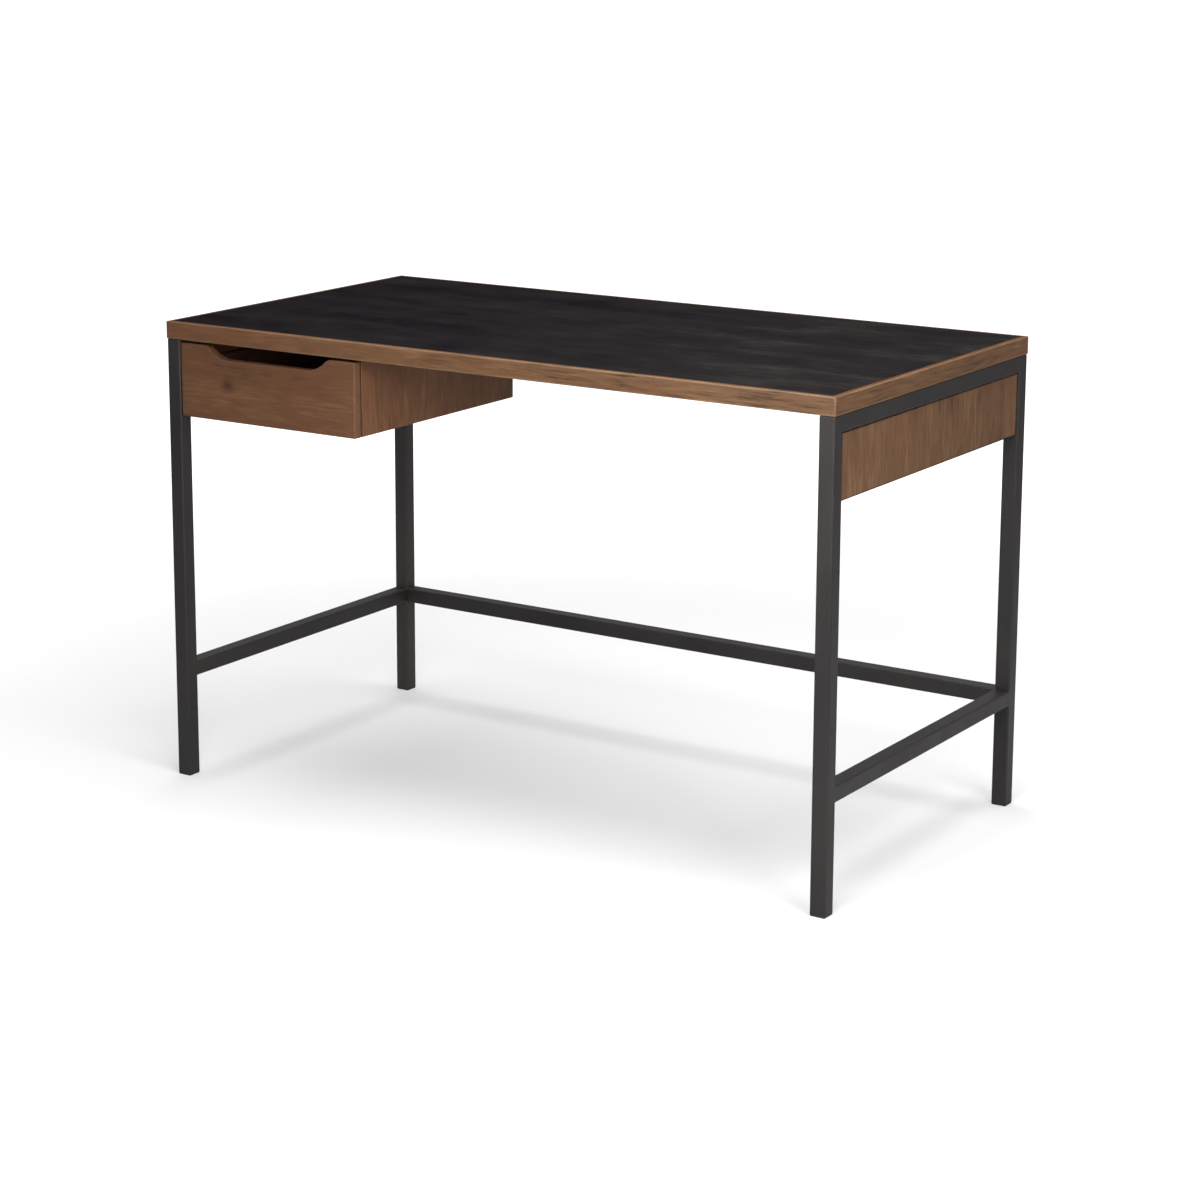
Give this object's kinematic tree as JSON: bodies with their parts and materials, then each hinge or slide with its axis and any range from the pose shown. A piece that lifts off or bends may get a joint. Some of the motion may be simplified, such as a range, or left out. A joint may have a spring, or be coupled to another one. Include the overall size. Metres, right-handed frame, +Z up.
{
  "type": "writing desk",
  "caption": "Writing desk with a black top edged in wood, a slim square-tube steel frame, wooden end panels and a shallow drawer hung under one end.",
  "frame": {"origin": "on the floor, under the middle of the board", "axes": "+Z up, +X along the desk to the user's right, +Y to the back, so the front faces -Y"},
  "size_m": [1.2, 0.625, 0.75],
  "materials": {
    "walnut_stained_wood": "satin, walnut stained",
    "drawer_box_wood": "satin, dark stained",
    "black_steel": "matt black powder coat",
    "black_plastic": "matt",
    "zinc_steel": "bright zinc plate",
    "screw_steel": "zinc plate",
    "black_stained_top": "matt, black stained",
    "board_core": "raw",
    "board_backing": "matt dark sheet",
    "dowel_wood": "raw",
    "pad_felt": "soft",
    "ball_cage": "matt",
    "ball_steel": "polished"
  },
  "bodies": {
    "root": {"lipping_front": "walnut_stained_wood", "lipping_back": "walnut_stained_wood", "lipping_left": "walnut_stained_wood", "lipping_right": "walnut_stained_wood", "end_panel_left": "walnut_stained_wood", "end_panel_right": "walnut_stained_wood", "case_side_left": "walnut_stained_wood", "case_side_right": "walnut_stained_wood", "case_bottom": "walnut_stained_wood", "case_back": "walnut_stained_wood", "leg_front_left": "black_steel", "leg_front_right": "black_steel", "leg_back_left": "black_steel", "leg_back_right": "black_steel", "leg_caps": "black_steel", "side_rail_left": "black_steel", "side_rail_right": "black_steel", "rear_rail": "black_steel", "stretcher_left": "black_steel", "stretcher_right": "black_steel", "stretcher_rear": "black_steel", "top_fixing_tabs": "black_steel", "panel_tabs": "black_steel", "foot_glide_front_left": "black_plastic", "foot_glide_front_right": "black_plastic", "foot_glide_back_left": "black_plastic", "foot_glide_back_right": "black_plastic", "runner_outer_left": "zinc_steel", "runner_outer_right": "zinc_steel", "case_brackets": "zinc_steel", "top_fixing_screws": "screw_steel", "panel_screws": "screw_steel", "case_bracket_screws": "screw_steel", "runner_outer_screws": "screw_steel", "desktop_surface": "black_stained_top", "desktop_core": "board_core", "desktop_backing": "board_backing", "case_dowels": "dowel_wood", "drawer_stop_pads": "pad_felt"},
    "drawer": {"drawer_front": "walnut_stained_wood", "drawer_side_left": "drawer_box_wood", "drawer_side_right": "drawer_box_wood", "drawer_back": "drawer_box_wood", "drawer_bottom": "drawer_box_wood", "drawer_dowels": "dowel_wood", "drawer_back_screws": "screw_steel", "runner_inner_left": "zinc_steel", "runner_inner_right": "zinc_steel", "runner_inner_screws": "screw_steel"},
    "runner_middles": {"runner_middle_left": "zinc_steel", "runner_middle_right": "zinc_steel"},
    "outer_ball_cages": {"ball_cages_outer": "ball_cage", "balls_outer": "ball_steel"},
    "inner_ball_cages": {"ball_cages_inner": "ball_cage", "balls_inner": "ball_steel"}
  },
  "joints": [
    {"name": "drawer_slide", "type": "slide", "parent": "root", "child": "drawer", "axis": [0, -1, 0], "range_m": [0, 0.35]},
    {"name": "middle_slide", "type": "slide", "parent": "root", "child": "runner_middles", "axis": [0, -1, 0], "range_m": [0, 0.175]},
    {"name": "outer_cage_slide", "type": "slide", "parent": "root", "child": "outer_ball_cages", "axis": [0, -1, 0], "range_m": [0, 0.0875]},
    {"name": "inner_cage_slide", "type": "slide", "parent": "root", "child": "inner_ball_cages", "axis": [0, -1, 0], "range_m": [0, 0.2625]}
  ],
  "couplings": [
    {"joint": "middle_slide", "follows": "drawer_slide", "ratio": 0.5},
    {"joint": "outer_cage_slide", "follows": "drawer_slide", "ratio": 0.25},
    {"joint": "inner_cage_slide", "follows": "drawer_slide", "ratio": 0.75}
  ]
}
